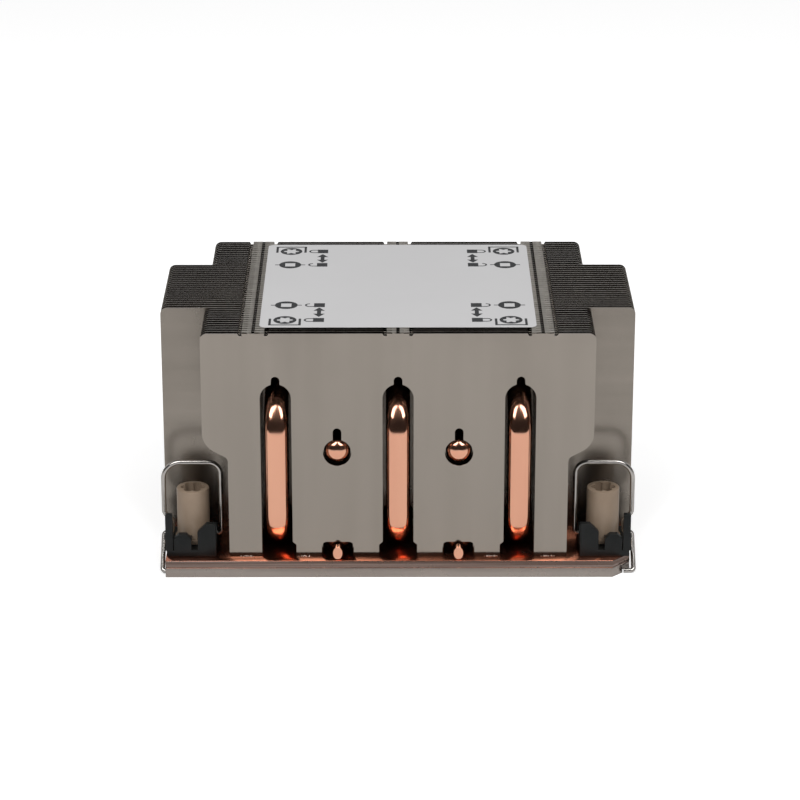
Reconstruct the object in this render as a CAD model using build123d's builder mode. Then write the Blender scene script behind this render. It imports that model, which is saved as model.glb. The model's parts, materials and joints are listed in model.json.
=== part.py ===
# Passive heatsink for a server processor: a two-layer base, five bent heat pipes and a
# stack of 46 thin fins, held down by four captive nuts with four anti-tilt wire bails.
# Millimetres. +X runs along the long side, +Y to the back and +Z up.
# The origin is at the centre of the underside of the base.
import os
from math import cos, radians, sin

from build123d import *

# Captive nuts stand at the corners of the socket's stud pattern, and the widths follow it.
nut_spacing_x = 103.2
nut_spacing_y = 56.0

# Base: a plated lower plate with a copper plate soldered on it.
base_side_margin = 6.6
base_ledge = 2.8
lower_plate_thickness = 2.6
copper_plate_thickness = 1.9
corner_cut = 4.5

# Fin stack: narrow fins at both ends and wide fins between them, all at one pitch.
overall_height = 64.0
fin_thickness = 0.4
fin_pitch = 1.6
narrow_fin_count = 12
wide_fin_count = 22
wide_fin_overhang = 1.2
narrow_foot_setback = 9.4
shoulder_reach = 6.25
foot_side_top = 31.0
shoulder_rise = 3.4
fin_corner = 1.7
shoulder_cut = 3.3
shoulder_radius = 5.5
foot_corner_radius = 1.5

# Folded tabs that lock each fin to the next, lying end to end as pairs of strips on the top.
tab_width = 2.35
tab_thickness = 0.2
tab_strip_spacing = 3.15
tab_pair_spacing = 35.45

# Heat pipes: three turn up at the front and two between them at the back.
pipe_diameter = 6.0
pipe_spacing = 30.2
front_pipe_top = 44.3
rear_pipe_top = 32.5
pipe_bend_radius = 8.0
pipe_bend_cuts = 3
pipe_facets = 12
pipe_seat_gap = 0.05
pipe_gap = 0.2
pipe_setback = 0.4
pipe_end_chamfer = 1.2
pipe_tip_setback = 0.2
pipe_tip_width = 2.7
pipe_tip_height = 3.6
pipe_taper_length = 3.4
pipe_taper_depth = 1.3

# Openings of the two end fins: clearances round the pipes, notches, feet and arches.
end_slot_clearance = 0.85
end_slot_rise = 2.5
slot_notch_rise = 1.95
slot_foot_step = 1.8
slot_foot_height = 4.0
slot_foot_chamfer = 0.8
end_hole_clearance = 0.5
hole_notch_rise = 3.0
notch_width = 2.2
arch_clearance = 1.0
arch_height = 4.0
arch_chamfer = 0.9
hole_facets = 20

# Paper label on the top.
label_width = 68.1
label_depth = 64.9
label_thickness = 0.12
label_corner = 0.9
label_shift = 0.15

# Captive nuts: plastic bodies with a six-lobe socket and a threaded stud bore.
nut_diameter = 8.2
nut_top = 20.0
nut_flange_diameter = 9.2
nut_flange_thickness = 1.0
nut_neck_diameter = 6.8
nut_neck_bottom = 0.6
stud_bore_diameter = 4.0
stud_bore_depth = 11.4
socket_diameter = 6.0
socket_waist = 4.0
socket_lobes = 6
socket_depth = 4.5
nut_clearance = 0.2
nut_hole_clearance = 0.4
nut_facets = 16

# Nut holders: black plastic clips, one round each nut, out to the edge of the base.
holder_floor_thickness = 1.5
holder_inner_reach = 6.0
holder_edge_setback = 0.2
holder_front_reach = 8.2
holder_rear_reach = 7.6
holder_wall = 1.8
clip_width = 4.3
clip_offset = 2.35
clip_rise = 4.4
clip_corner = 1.2
clip_nose_thickness = 1.0
clip_nose_gap = 0.5
clip_nose_clearance = 0.25
screen_width = 4.6
screen_rise = 7.2
screen_corner = 2.2
post_width = 1.8
post_rise = 9.6
inner_eye_thickness = 1.0
outer_eye_thickness = 0.65
outer_eye_overhang = 0.2
eye_radius = 2.3
eye_corner = 1.2
eye_hole_facets = 6

# Wire bails: one bent wire at each corner, which turns in the two eyes of its holder.
wire_diameter = 1.2
wire_facets = 6
wire_axis_height = 7.6
wire_clearance = 0.15
eye_clearance = 0.2
inner_leg_gap = 0.4
bail_top = 26.7
bail_inner_corner = 2.6
bail_outer_corner_width = 4.2
bail_outer_corner_drop = 4.6
bail_outer_bulge = 0.7
bail_jog_to_post = 1.0
wire_pin_stub = 0.2
hook_reach = 8.5
hook_floor_gap = 0.1
hook_length = 2.45

# Pockets in the sides of the lower plate, where the wires' hooks lie.
pocket_clearance = 0.4
pocket_run = 1.6

# Sizes and places that follow from those above.
base_width = nut_spacing_x + 2 * base_side_margin
base_edge = base_width / 2
base_top = lower_plate_thickness + copper_plate_thickness
fin_top = overall_height - tab_thickness
fin_count = 2 * narrow_fin_count + wide_fin_count
stack_depth = (fin_count - 1) * fin_pitch + fin_thickness
base_depth = stack_depth + 2 * base_ledge
wide_fin_width = base_width + 2 * wide_fin_overhang
narrow_foot_width = nut_spacing_x - 2 * narrow_foot_setback
narrow_fin_width = narrow_foot_width + 2 * shoulder_reach
tab_places = [
    pair * tab_pair_spacing + strip * tab_strip_spacing / 2 for pair in (-1, 0, 1) for strip in (-1, 1)
]

slot_width = pipe_diameter + 2 * pipe_gap
end_slot_width = pipe_diameter + 2 * end_slot_clearance
end_hole_diameter = pipe_diameter + 2 * end_hole_clearance
arch_width = pipe_diameter + 2 * arch_clearance
lower_leg_height = base_top + pipe_seat_gap + pipe_diameter / 2
pipe_run_place = stack_depth / 2 - pipe_setback - pipe_diameter / 2
lower_end_place = stack_depth / 2 - fin_thickness
pipe_tip_length = base_depth / 2 - pipe_tip_setback - lower_end_place
tip_height = base_top + pipe_seat_gap + pipe_tip_height / 2
front_pipe_places = [-pipe_spacing, 0, pipe_spacing]
rear_pipe_places = [-pipe_spacing / 2, pipe_spacing / 2]

nut_x = nut_spacing_x / 2
nut_y = -nut_spacing_y / 2
nut_place = (nut_x, nut_y)
nut_hole_radius = nut_neck_diameter / 2 + nut_hole_clearance
floor_top = base_top + holder_floor_thickness
flange_bottom = floor_top + nut_clearance
flange_top = flange_bottom + nut_flange_thickness
holder_inner_edge = nut_x - holder_inner_reach
holder_outer_edge = base_edge - holder_edge_setback
holder_front_edge = nut_y - holder_front_reach
holder_rear_edge = nut_y + holder_rear_reach
outer_eye_edge = base_edge + outer_eye_overhang

wire_radius = wire_diameter / 2
inner_leg = holder_inner_edge - inner_leg_gap - wire_radius
hook_plane = outer_eye_edge + wire_clearance + wire_radius
jog_inner = outer_eye_edge - outer_eye_thickness - wire_clearance - wire_radius
outer_leg = base_edge + wire_clearance + wire_radius
jog_end = holder_front_reach - holder_wall - bail_jog_to_post
jog_start = jog_end - (outer_leg - jog_inner)
hook_place = nut_y - hook_reach
hook_height = wire_radius + hook_floor_gap
pocket_height = hook_height + wire_radius + pocket_clearance
corners = {
    "front_left": (-1, -1),
    "front_right": (1, -1),
    "rear_left": (-1, 1),
    "rear_right": (1, 1),
}

os.makedirs("parts", exist_ok=True)


def ring(width, height, facets, turned=0.5):
    # Corners of an evenly turned outline, round or oval, for pieces drawn with facets.
    turns = [radians((corner + turned) * 360 / facets) for corner in range(facets)]
    return [(width / 2 * cos(turn), height / 2 * sin(turn)) for turn in turns]


def save(part, name):
    part.label = name
    export_step(part, f"parts/{name}.step")


def at_corner(piece, side, end):
    # A piece drawn at the front right corner, mirrored into the corner asked for.
    with BuildPart() as copy:
        add(piece)
        if side < 0:
            mirror(about=Plane.YZ, mode=Mode.REPLACE)
        if end > 0:
            mirror(about=Plane.XZ, mode=Mode.REPLACE)
    return copy.part


# Both base plates share one outline, with its front right corner cut off.
with BuildSketch() as base_outline:
    Rectangle(base_width, base_depth)
    front_right = base_outline.vertices().sort_by(Axis.X)[-2:].sort_by(Axis.Y)[0]
    chamfer(front_right, corner_cut)
    with GridLocations(nut_spacing_x, nut_spacing_y, 2, 2):
        RegularPolygon(nut_hole_radius, nut_facets, mode=Mode.SUBTRACT)

# The lower plate has a pocket in each side near its ends, where a wire's hook lies.
with BuildPart() as base_plate:
    add(base_outline.sketch)
    extrude(amount=lower_plate_thickness)
    pocket_front = hook_place - wire_radius - pocket_clearance
    pocket_rear = hook_place + wire_radius + pocket_run
    pocket_bottom = hook_plane - hook_length - pocket_clearance
    with BuildSketch():
        for side, end in corners.values():
            with Locations((side * base_edge, -end * (pocket_front + pocket_rear) / 2)):
                Rectangle(2 * (base_edge - pocket_bottom), pocket_rear - pocket_front)
    extrude(amount=pocket_height, mode=Mode.SUBTRACT)
save(base_plate.part, "base_plate")

with BuildPart() as copper_base:
    with BuildSketch(Plane.XY.offset(lower_plate_thickness)):
        add(base_outline.sketch)
    extrude(amount=copper_plate_thickness)
save(copper_base.part, "copper_base")


def fin_plane(index):
    # The front face of one fin, counted from the front of the stack.
    return Plane(
        origin=(0, index * fin_pitch - stack_depth / 2, 0),
        x_dir=(1, 0, 0),
        z_dir=(0, -1, 0),
    )


def narrow_outline(rounded):
    # Narrow fins draw in below their shoulders, to leave room for the nuts.
    half_foot = narrow_foot_width / 2
    half_width = narrow_fin_width / 2
    with BuildSketch() as outline:
        with BuildLine():
            Polyline(
                (0, base_top),
                (half_foot, base_top),
                (half_foot, foot_side_top),
                (half_width, foot_side_top + shoulder_rise),
                (half_width, fin_top),
                (0, fin_top),
            )
            mirror(about=Plane.YZ)
        make_face()
        top = outline.vertices().group_by(Axis.Y)[-1]
        top_corners = [top.sort_by(Axis.X)[0], top.sort_by(Axis.X)[-1]]
        shoulders = outline.vertices().group_by(Axis.Y)[-2]
        foot_corners = outline.vertices().group_by(Axis.Y)[-3]
        if rounded:
            fillet(top_corners, fin_corner)
            fillet(shoulders, shoulder_radius)
            fillet(foot_corners, foot_corner_radius)
        else:
            chamfer(top_corners, fin_corner)
            chamfer(shoulders, shoulder_cut)
    return outline.sketch


def pipe_slots():
    # Slots that let the pipes' bends and legs through a fin.
    with BuildSketch() as slots:
        for places, top in (front_pipe_places, front_pipe_top), (rear_pipe_places, rear_pipe_top):
            slot_top = top + slot_width / 2
            with Locations([(place, base_top) for place in places]):
                Rectangle(slot_width, slot_top - base_top, align=(Align.CENTER, Align.MIN))
    return slots.sketch


def end_fin_openings(bend_places, bend_top, end_places, end_top):
    # Tall round-headed slots for the pipes that turn at this end, and round holes and
    # low arches for the closed ends of the others.
    slot_head = bend_top + end_slot_rise
    with BuildSketch() as openings:
        with Locations([(place, slot_head) for place in bend_places]):
            RegularPolygon(end_slot_width / 2, hole_facets)
            Rectangle(end_slot_width, slot_head - base_top, align=(Align.CENTER, Align.MAX))
            Rectangle(
                notch_width,
                end_slot_width / 2 + slot_notch_rise,
                align=(Align.CENTER, Align.MIN),
            )
        with Locations([(place, end_top) for place in end_places]):
            RegularPolygon(end_hole_diameter / 2, hole_facets)
            Rectangle(
                notch_width,
                end_hole_diameter / 2 + hole_notch_rise,
                align=(Align.CENTER, Align.MIN),
            )
        for place in bend_places:
            left = place - end_slot_width / 2 - (slot_foot_step / 2 if place >= 0 else 0)
            right = place + end_slot_width / 2 + (slot_foot_step / 2 if place <= 0 else 0)
            with BuildSketch(mode=Mode.PRIVATE) as foot:
                with Locations(((left + right) / 2, base_top)):
                    Rectangle(right - left, slot_foot_height, align=(Align.CENTER, Align.MIN))
                chamfer(foot.vertices().group_by(Axis.Y)[-1], slot_foot_chamfer)
            add(foot.sketch)
        with BuildSketch(mode=Mode.PRIVATE) as arch:
            Rectangle(arch_width, arch_height, align=(Align.CENTER, Align.MIN))
            chamfer(arch.vertices().group_by(Axis.Y)[-1], arch_chamfer)
        with Locations([(place, base_top) for place in end_places]):
            add(arch.sketch)
    return openings.sketch


def make_fins(name, indices, outline, openings):
    with BuildPart() as fins:
        with BuildSketch(*[fin_plane(index) for index in indices]):
            add(outline)
            add(openings, mode=Mode.SUBTRACT)
        extrude(amount=-fin_thickness)
    save(fins.part, name)


with BuildSketch() as wide_outline:
    with Locations((0, base_top)):
        Rectangle(wide_fin_width, fin_top - base_top, align=(Align.CENTER, Align.MIN))
    chamfer(wide_outline.vertices().group_by(Axis.Y)[-1], fin_corner)

first_wide = narrow_fin_count
first_rear = narrow_fin_count + wide_fin_count
last_fin = fin_count - 1
front_openings = end_fin_openings(
    front_pipe_places, front_pipe_top, rear_pipe_places, rear_pipe_top
)
rear_openings = end_fin_openings(
    rear_pipe_places, rear_pipe_top, front_pipe_places, front_pipe_top
)
make_fins("front_end_fin", [0], narrow_outline(True), front_openings)
make_fins("front_fins", range(1, first_wide), narrow_outline(False), pipe_slots())
make_fins("middle_fins", range(first_wide, first_rear), wide_outline.sketch, pipe_slots())
make_fins("rear_fins", range(first_rear, last_fin), narrow_outline(False), pipe_slots())
make_fins("rear_end_fin", [last_fin], narrow_outline(True), rear_openings)

# The fins' folded tabs overlap one another into six strips from front to back.
with BuildPart() as fin_tabs:
    with BuildSketch(Plane.XY.offset(fin_top)):
        with Locations([(place, 0) for place in tab_places]):
            Rectangle(tab_width, stack_depth)
    extrude(amount=tab_thickness)
save(fin_tabs.part, "fin_tabs")


def bend_points(centre, first_angle, last_angle):
    # Corners of a mitred bend: tangents to the bend's arc, evenly turned.
    step = (last_angle - first_angle) / pipe_bend_cuts
    reach = pipe_bend_radius / cos(radians(step / 2))
    angles = [first_angle + (cut + 0.5) * step for cut in range(pipe_bend_cuts)]
    return [
        (0, centre[0] + reach * cos(radians(a)), centre[1] + reach * sin(radians(a)))
        for a in angles
    ]


def section_plane(place, height):
    # A plane across a pipe's leg, facing the front.
    return Plane(origin=(0, place, height), x_dir=(1, 0, 0), z_dir=(0, -1, 0))


def make_pipe(name, place, top, turn):
    # Drawn with its bends at the back, and turned about where they belong at the front.
    # The lower leg lies on the base and ends in a pinched tip, and the upper leg runs
    # through the fins to a closed end.
    bend_centre = pipe_run_place - pipe_bend_radius
    path_points = [
        (0, -lower_end_place, lower_leg_height),
        *bend_points((bend_centre, lower_leg_height + pipe_bend_radius), -90, 0),
        *bend_points((bend_centre, top - pipe_bend_radius), 0, 90),
        (0, -stack_depth / 2, top),
    ]
    with BuildPart() as pipe:
        with BuildLine() as path:
            Polyline(*path_points)
        with BuildSketch(section_plane(-lower_end_place, lower_leg_height)):
            Polygon(*ring(pipe_diameter, pipe_diameter, pipe_facets), align=None)
        sweep(path=path.wires()[0], transition=Transition.RIGHT)
        upper_end = pipe.faces().filter_by(Axis.Y).sort_by(Axis.Y)[:2].sort_by(Axis.Z)[-1]
        chamfer(upper_end.edges(), pipe_end_chamfer)
        lower_end = pipe.faces().filter_by(Axis.Y).sort_by(Axis.Y)[:2].sort_by(Axis.Z)[0]
        chamfer(lower_end.edges(), pipe_taper_depth, pipe_taper_length, reference=lower_end)
        with BuildSketch(section_plane(-lower_end_place, tip_height)):
            Polygon(*ring(pipe_tip_width, pipe_tip_height, pipe_facets), align=None)
        extrude(amount=pipe_tip_length)
    with BuildPart() as placed:
        with Locations(Location((place, 0, 0), (0, 0, turn))):
            add(pipe.part)
    save(placed.part, name)


for name, place in zip(["left", "centre", "right"], front_pipe_places):
    make_pipe(f"{name}_front_pipe", place, front_pipe_top, 180)
for name, place in zip(["left", "right"], rear_pipe_places):
    make_pipe(f"{name}_rear_pipe", place, rear_pipe_top, 0)

with BuildPart() as top_label:
    with BuildSketch(Plane.XY.offset(overall_height)) as label_outline:
        with Locations((0, label_shift)):
            Rectangle(label_width, label_depth)
        chamfer(label_outline.vertices(), label_corner)
    extrude(amount=label_thickness)
save(top_label.part, "top_label")

# Captive nut, with its flange lying on the holder's floor and its neck in the base.
lobe_points = ring(socket_diameter, socket_diameter, socket_lobes)
waist_points = ring(socket_waist, socket_waist, socket_lobes, turned=0)
with BuildSketch() as socket_outline:
    with BuildLine():
        Polyline([point for pair in zip(waist_points, lobe_points) for point in pair], close=True)
    make_face()

with BuildPart() as nut:
    with BuildSketch(Plane.XY.offset(nut_neck_bottom)):
        with Locations(nut_place):
            RegularPolygon(nut_neck_diameter / 2, nut_facets)
    extrude(amount=flange_bottom - nut_neck_bottom)
    with BuildSketch(Plane.XY.offset(flange_bottom)):
        with Locations(nut_place):
            RegularPolygon(nut_flange_diameter / 2, nut_facets)
    extrude(amount=nut_flange_thickness)
    with BuildSketch(Plane.XY.offset(flange_top)):
        with Locations(nut_place):
            RegularPolygon(nut_diameter / 2, nut_facets)
    extrude(amount=nut_top - flange_top)
    with BuildSketch(Plane.XY.offset(nut_top)):
        with Locations(nut_place):
            add(socket_outline.sketch)
    extrude(amount=-socket_depth, mode=Mode.SUBTRACT)
    with BuildSketch(Plane.XY.offset(nut_neck_bottom)):
        with Locations(nut_place):
            Circle(stud_bore_diameter / 2)
    extrude(amount=stud_bore_depth, mode=Mode.SUBTRACT)

for corner, (side, end) in corners.items():
    save(at_corner(nut.part, side, end), f"{corner}_nut")

# Nut holder: a floor round the nut, clips front and back with noses over its flange,
# a screen and a post at the front, and an eye at each side for the wire.
eye_outer_face = Plane.YZ.offset(outer_eye_edge)
eye_inner_face = Plane.YZ.offset(holder_inner_edge + inner_eye_thickness)
front_face = Plane(origin=(0, holder_front_edge, 0), x_dir=(1, 0, 0), z_dir=(0, -1, 0))
rear_face = Plane(origin=(0, holder_rear_edge, 0), x_dir=(1, 0, 0), z_dir=(0, -1, 0))
nose_reach = nut_diameter / 2 + clip_nose_clearance

with BuildSketch() as eye_outline:
    with Locations((nut_y, base_top)):
        Rectangle(
            2 * eye_radius,
            wire_axis_height + eye_radius - base_top,
            align=(Align.CENTER, Align.MIN),
        )
    chamfer(eye_outline.vertices().group_by(Axis.Y)[-1], eye_corner)
    with Locations((nut_y, wire_axis_height)):
        RegularPolygon(wire_radius + eye_clearance, eye_hole_facets, False, mode=Mode.SUBTRACT)


def clip_outline(place):
    with BuildSketch() as outline:
        with Locations((place, floor_top)):
            Rectangle(clip_width, clip_rise, align=(Align.CENTER, Align.MIN))
        chamfer(outline.vertices().group_by(Axis.Y)[-1], clip_corner)
    return outline.sketch


with BuildPart() as holder:
    with BuildSketch(Plane.XY.offset(base_top)):
        with Locations((holder_inner_edge, holder_front_edge)):
            Rectangle(
                holder_outer_edge - holder_inner_edge,
                holder_rear_edge - holder_front_edge,
                align=Align.MIN,
            )
        with Locations(nut_place):
            RegularPolygon(nut_hole_radius, nut_facets, mode=Mode.SUBTRACT)
    extrude(amount=holder_floor_thickness)
    with BuildSketch(eye_outer_face):
        add(eye_outline.sketch)
    extrude(amount=-outer_eye_thickness)
    with BuildSketch(eye_inner_face):
        add(eye_outline.sketch)
    extrude(amount=-inner_eye_thickness)
    with BuildSketch(front_face):
        add(clip_outline(nut_x + clip_offset))
        with Locations((base_edge, floor_top)):
            Rectangle(post_width, post_rise, align=(Align.MAX, Align.MIN))
    extrude(amount=-holder_wall)
    with BuildSketch(front_face) as screen:
        with Locations((holder_inner_edge, floor_top)):
            Rectangle(screen_width, screen_rise, align=Align.MIN)
        chamfer(screen.vertices().group_by(Axis.Y)[-1].sort_by(Axis.X)[-1], screen_corner)
    extrude(amount=-holder_wall)
    with BuildSketch(rear_face):
        add(clip_outline(nut_x))
    extrude(amount=holder_wall)
    with BuildSketch(Plane.XY.offset(flange_top + clip_nose_gap)):
        with Locations((nut_x + clip_offset, holder_front_edge)):
            Rectangle(clip_width, holder_front_reach - nose_reach, align=(Align.CENTER, Align.MIN))
        with Locations((nut_x, holder_rear_edge)):
            Rectangle(clip_width, holder_rear_reach - nose_reach, align=(Align.CENTER, Align.MAX))
    extrude(amount=clip_nose_thickness)

for corner, (side, end) in corners.items():
    save(at_corner(holder.part, side, end), f"{corner}_nut_holder")

# Wire bail, standing up over its nut: a pin in the inner eye, the bow, the turn through
# the outer eye, and an arm beside the base that ends in the anti-tilt hook.
bail_points = [
    (holder_inner_edge + inner_eye_thickness + wire_pin_stub, wire_axis_height),
    (inner_leg, wire_axis_height),
    (inner_leg, bail_top - bail_inner_corner),
    (inner_leg + bail_inner_corner, bail_top),
    (outer_leg - bail_outer_corner_width, bail_top),
    (
        outer_leg - (1 - bail_outer_bulge) * bail_outer_corner_width,
        bail_top - (1 - bail_outer_bulge) * bail_outer_corner_drop,
    ),
    (outer_leg, bail_top - bail_outer_corner_drop),
    (outer_leg, wire_axis_height + jog_end),
    (jog_inner, wire_axis_height + jog_start),
    (jog_inner, wire_axis_height),
    (hook_plane, wire_axis_height),
]
wire_points = [(x, nut_y, z) for x, z in bail_points] + [
    (hook_plane, hook_place, hook_height),
    (hook_plane - hook_length, hook_place, hook_height),
]

with BuildPart() as wire:
    with BuildLine() as wire_path:
        Polyline(*wire_points)
    with BuildSketch(Plane(origin=wire_points[0], z_dir=(-1, 0, 0))):
        RegularPolygon(wire_radius, wire_facets)
    sweep(path=wire_path.wires()[0], transition=Transition.RIGHT)

for corner, (side, end) in corners.items():
    save(at_corner(wire.part, side, end), f"{corner}_wire")
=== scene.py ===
# %% [markdown]
# A passive heatsink for a server processor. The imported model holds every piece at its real
# size: a two-layer base, five bent heat pipes, 46 thin fins, and at each corner a captive
# nut in a plastic holder with a wire bail over it. This notebook gives each of them its
# finish, and models again, smooth and in detail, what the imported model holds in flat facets.

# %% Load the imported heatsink
import json
from math import asin, atan2, copysign, cos, hypot, pi, radians, sin, tan

import bmesh
import bpy
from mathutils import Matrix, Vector


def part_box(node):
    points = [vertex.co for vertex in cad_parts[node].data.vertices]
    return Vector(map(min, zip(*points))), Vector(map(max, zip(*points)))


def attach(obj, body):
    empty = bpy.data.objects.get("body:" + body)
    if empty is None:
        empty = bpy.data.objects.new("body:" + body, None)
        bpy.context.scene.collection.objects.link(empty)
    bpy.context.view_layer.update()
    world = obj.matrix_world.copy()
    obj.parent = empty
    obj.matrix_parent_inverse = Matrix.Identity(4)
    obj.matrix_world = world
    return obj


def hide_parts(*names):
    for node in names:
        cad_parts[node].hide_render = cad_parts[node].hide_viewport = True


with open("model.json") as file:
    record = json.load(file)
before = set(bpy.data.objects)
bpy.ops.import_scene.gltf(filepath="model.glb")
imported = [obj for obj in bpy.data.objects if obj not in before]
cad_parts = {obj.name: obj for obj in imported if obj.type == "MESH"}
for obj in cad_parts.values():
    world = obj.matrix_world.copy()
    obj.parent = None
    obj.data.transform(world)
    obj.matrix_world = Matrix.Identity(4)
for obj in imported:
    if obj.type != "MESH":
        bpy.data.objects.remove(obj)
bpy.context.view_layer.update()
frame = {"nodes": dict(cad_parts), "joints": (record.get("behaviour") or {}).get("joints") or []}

MM = 0.001

# %% [markdown]
# The photograph looks straight at the front, from about 21 degrees above and from far away,
# so the upright edges stay nearly parallel. A long lens at 0.8 metres gives the same view.

# %% Camera at the photograph's angle
camera_distance = 792 * MM
camera_height_angle = radians(21.0)
camera_turn = radians(0.15)
focal_pixels = 3063
frame_pixels = 800
sensor_width = 36
look_at = Vector((0.57, 0, 32.6)) * MM

view_direction = Vector(
    (
        sin(camera_turn) * cos(camera_height_angle),
        cos(camera_turn) * cos(camera_height_angle),
        -sin(camera_height_angle),
    )
)
bpy.ops.object.camera_add(location=look_at - view_direction * camera_distance)
camera = bpy.context.object
camera.rotation_euler = view_direction.to_track_quat("-Z", "Y").to_euler()
camera.data.sensor_width = sensor_width
camera.data.lens = focal_pixels / frame_pixels * sensor_width
camera.data.clip_start = 10 * MM
bpy.context.scene.camera = camera
print("lens", round(camera.data.lens, 1), "mm")

# %% [markdown]
# A studio has a table, a room and lamps. Bright metal shows all of them, so their places
# matter more here than on a painted thing. The table is pale, because the fins mirror it,
# and it ends a little in front of the heatsink. The room is dark in front and paler behind,
# which draws the dark spot on each bend of copper, and a large soft box in front at each
# side draws the pair of highlights above that spot. One lamp overhead would give them a
# single flat one. The background is white only for the camera's own rays.

# %% Table
table_width = 6.0
table_front = -0.27
table_tone = 0.8
table_glow = 0.5
bpy.ops.mesh.primitive_plane_add(size=table_width, location=(0, table_front + table_width / 2, 0))
table = bpy.context.object
table.name = "studio_table"


def new_material(name):
    """A material with its node tree ready, and its shader node."""
    material = bpy.data.materials.new(name)
    material.use_nodes = True
    return material, material.node_tree.nodes["Principled BSDF"]


def by_ray(tree, straight, scattered):
    """A value for the camera's rays, one for scattered rays, and a socket for mirrored ones."""
    path = tree.nodes.new("ShaderNodeLightPath")
    other_rays = tree.nodes.new("ShaderNodeMix")
    other_rays.inputs["A"].default_value = scattered
    other_rays.inputs["B"].default_value = 0
    tree.links.new(path.outputs["Is Glossy Ray"], other_rays.inputs["Factor"])
    all_rays = tree.nodes.new("ShaderNodeMix")
    all_rays.inputs["B"].default_value = straight
    tree.links.new(path.outputs["Is Camera Ray"], all_rays.inputs["Factor"])
    tree.links.new(other_rays.outputs["Result"], all_rays.inputs["A"])
    return all_rays.outputs["Result"], other_rays.inputs["B"]


# %% The table's finish
pale_table, table_shader = new_material("pale_table")
table_shader.inputs["Base Color"].default_value = (table_tone, table_tone, table_tone, 1)
table_shader.inputs["Roughness"].default_value = 0.8
table_shader.inputs["Specular IOR Level"].default_value = 0.1
seen_glow = by_ray(pale_table.node_tree, straight=table_glow, scattered=0)[0]
table_shader.inputs["Emission Color"].default_value = (1, 1, 1, 1)
pale_table.node_tree.links.new(seen_glow, table_shader.inputs["Emission Strength"])
table.data.materials.append(pale_table)
print("table:", table_width, "m wide, front edge at", table_front, "m")

# %% Room
white_wall = 1.05
back_wall, front_wall, ceiling = 0.72, 0.025, 0.12
front_end, back_start = -0.25, 0.35
wall_end, ceiling_start = 0.35, 0.75
room_light = 0.3
world = bpy.data.worlds.new("soft_studio")
world.use_nodes = True
bpy.context.scene.world = world
room_nodes, room_links = world.node_tree.nodes, world.node_tree.links
direction = room_nodes.new("ShaderNodeTexCoord")
axes = room_nodes.new("ShaderNodeSeparateXYZ")
room_links.new(direction.outputs["Generated"], axes.inputs[0])


def wall_fade(axis, start, end, first, last):
    """A soft change of light between two heights or two depths of the room."""
    fade = room_nodes.new("ShaderNodeMapRange")
    fade.interpolation_type = "SMOOTHSTEP"
    fade.inputs["From Min"].default_value = start
    fade.inputs["From Max"].default_value = end
    fade.inputs["To Min"].default_value = first
    fade.inputs["To Max"].default_value = last
    room_links.new(axes.outputs[axis], fade.inputs["Value"])
    return fade


wall_light = wall_fade("Y", front_end, back_start, front_wall, back_wall)
seen_light = wall_fade("Z", wall_end, ceiling_start, 0, ceiling)
room_links.new(wall_light.outputs[0], seen_light.inputs["To Min"])
room_glow, room_mirrored = by_ray(world.node_tree, straight=white_wall, scattered=room_light)
room_links.new(seen_light.outputs[0], room_mirrored)
room_nodes["Background"].inputs["Color"].default_value = (1, 1, 1, 1)
room_links.new(room_glow, room_nodes["Background"].inputs["Strength"])

# %% Soft boxes
box_aside, box_front, box_height = 0.45, -0.58, 0.86
box_width, box_depth = 0.62, 0.7
box_power = 6.4


def soft_box(name, side):
    """A rectangular lamp that faces the heatsink from the front, at one side."""
    place = Vector((side * box_aside, box_front, box_height))
    bpy.ops.object.light_add(type="AREA", location=place)
    lamp = bpy.context.object
    lamp.name = name
    lamp.data.shape = "RECTANGLE"
    lamp.data.size = box_width
    lamp.data.size_y = box_depth
    lamp.data.energy = box_power
    lamp.rotation_euler = (look_at - place).to_track_quat("-Z", "Y").to_euler()


soft_box("left_soft_box", -1)
soft_box("right_soft_box", 1)

# %% [markdown]
# Two effects are used by many of the finishes, so each is a shader group that is built once.
# "Grain" gives fine streaks, as rolling and drawing leave them in metal: it is noise that is
# read on a place stretched by three numbers, and the axis with the smallest one is the way
# the streaks run. "Handling" gives broad, soft patches, as fingers and time leave them. Both
# put out plain values, and each material decides what they do there.

# %% Shader groups for grain and handling
speck_scale = 900


def new_group(name, inputs, outputs):
    """A node group with named number sockets, its nodes, links and two end nodes."""
    group = bpy.data.node_groups.new(name, "ShaderNodeTree")
    for socket in inputs:
        group.interface.new_socket(socket, in_out="INPUT", socket_type="NodeSocketFloat")
    for socket in outputs:
        group.interface.new_socket(socket, in_out="OUTPUT", socket_type="NodeSocketFloat")
    start = group.nodes.new("NodeGroupInput")
    end = group.nodes.new("NodeGroupOutput")
    return group, start, end


def noise_on(group, vector, scale, detail):
    """A noise pattern read at a stretched place."""
    noise = group.nodes.new("ShaderNodeTexNoise")
    noise.inputs["Scale"].default_value = scale
    noise.inputs["Detail"].default_value = detail
    group.links.new(vector, noise.inputs["Vector"])
    return noise.outputs["Fac"]


grain_group, grain_start, grain_end = new_group(
    "Grain", ["Along X", "Along Y", "Along Z"], ["Streak", "Height"]
)
grain_place = grain_group.nodes.new("ShaderNodeTexCoord")
grain_axes = grain_group.nodes.new("ShaderNodeCombineXYZ")
for axis in "XYZ":
    grain_group.links.new(grain_start.outputs[f"Along {axis}"], grain_axes.inputs[axis])
grain_stretch = grain_group.nodes.new("ShaderNodeVectorMath")
grain_stretch.operation = "MULTIPLY"
grain_group.links.new(grain_place.outputs["Object"], grain_stretch.inputs[0])
grain_group.links.new(grain_axes.outputs[0], grain_stretch.inputs[1])
broad_streak = noise_on(grain_group, grain_stretch.outputs[0], scale=1, detail=3)
fine_streak = noise_on(grain_group, grain_stretch.outputs[0], scale=6, detail=6)
grain_group.links.new(broad_streak, grain_end.inputs["Streak"])
grain_group.links.new(fine_streak, grain_end.inputs["Height"])

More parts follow.
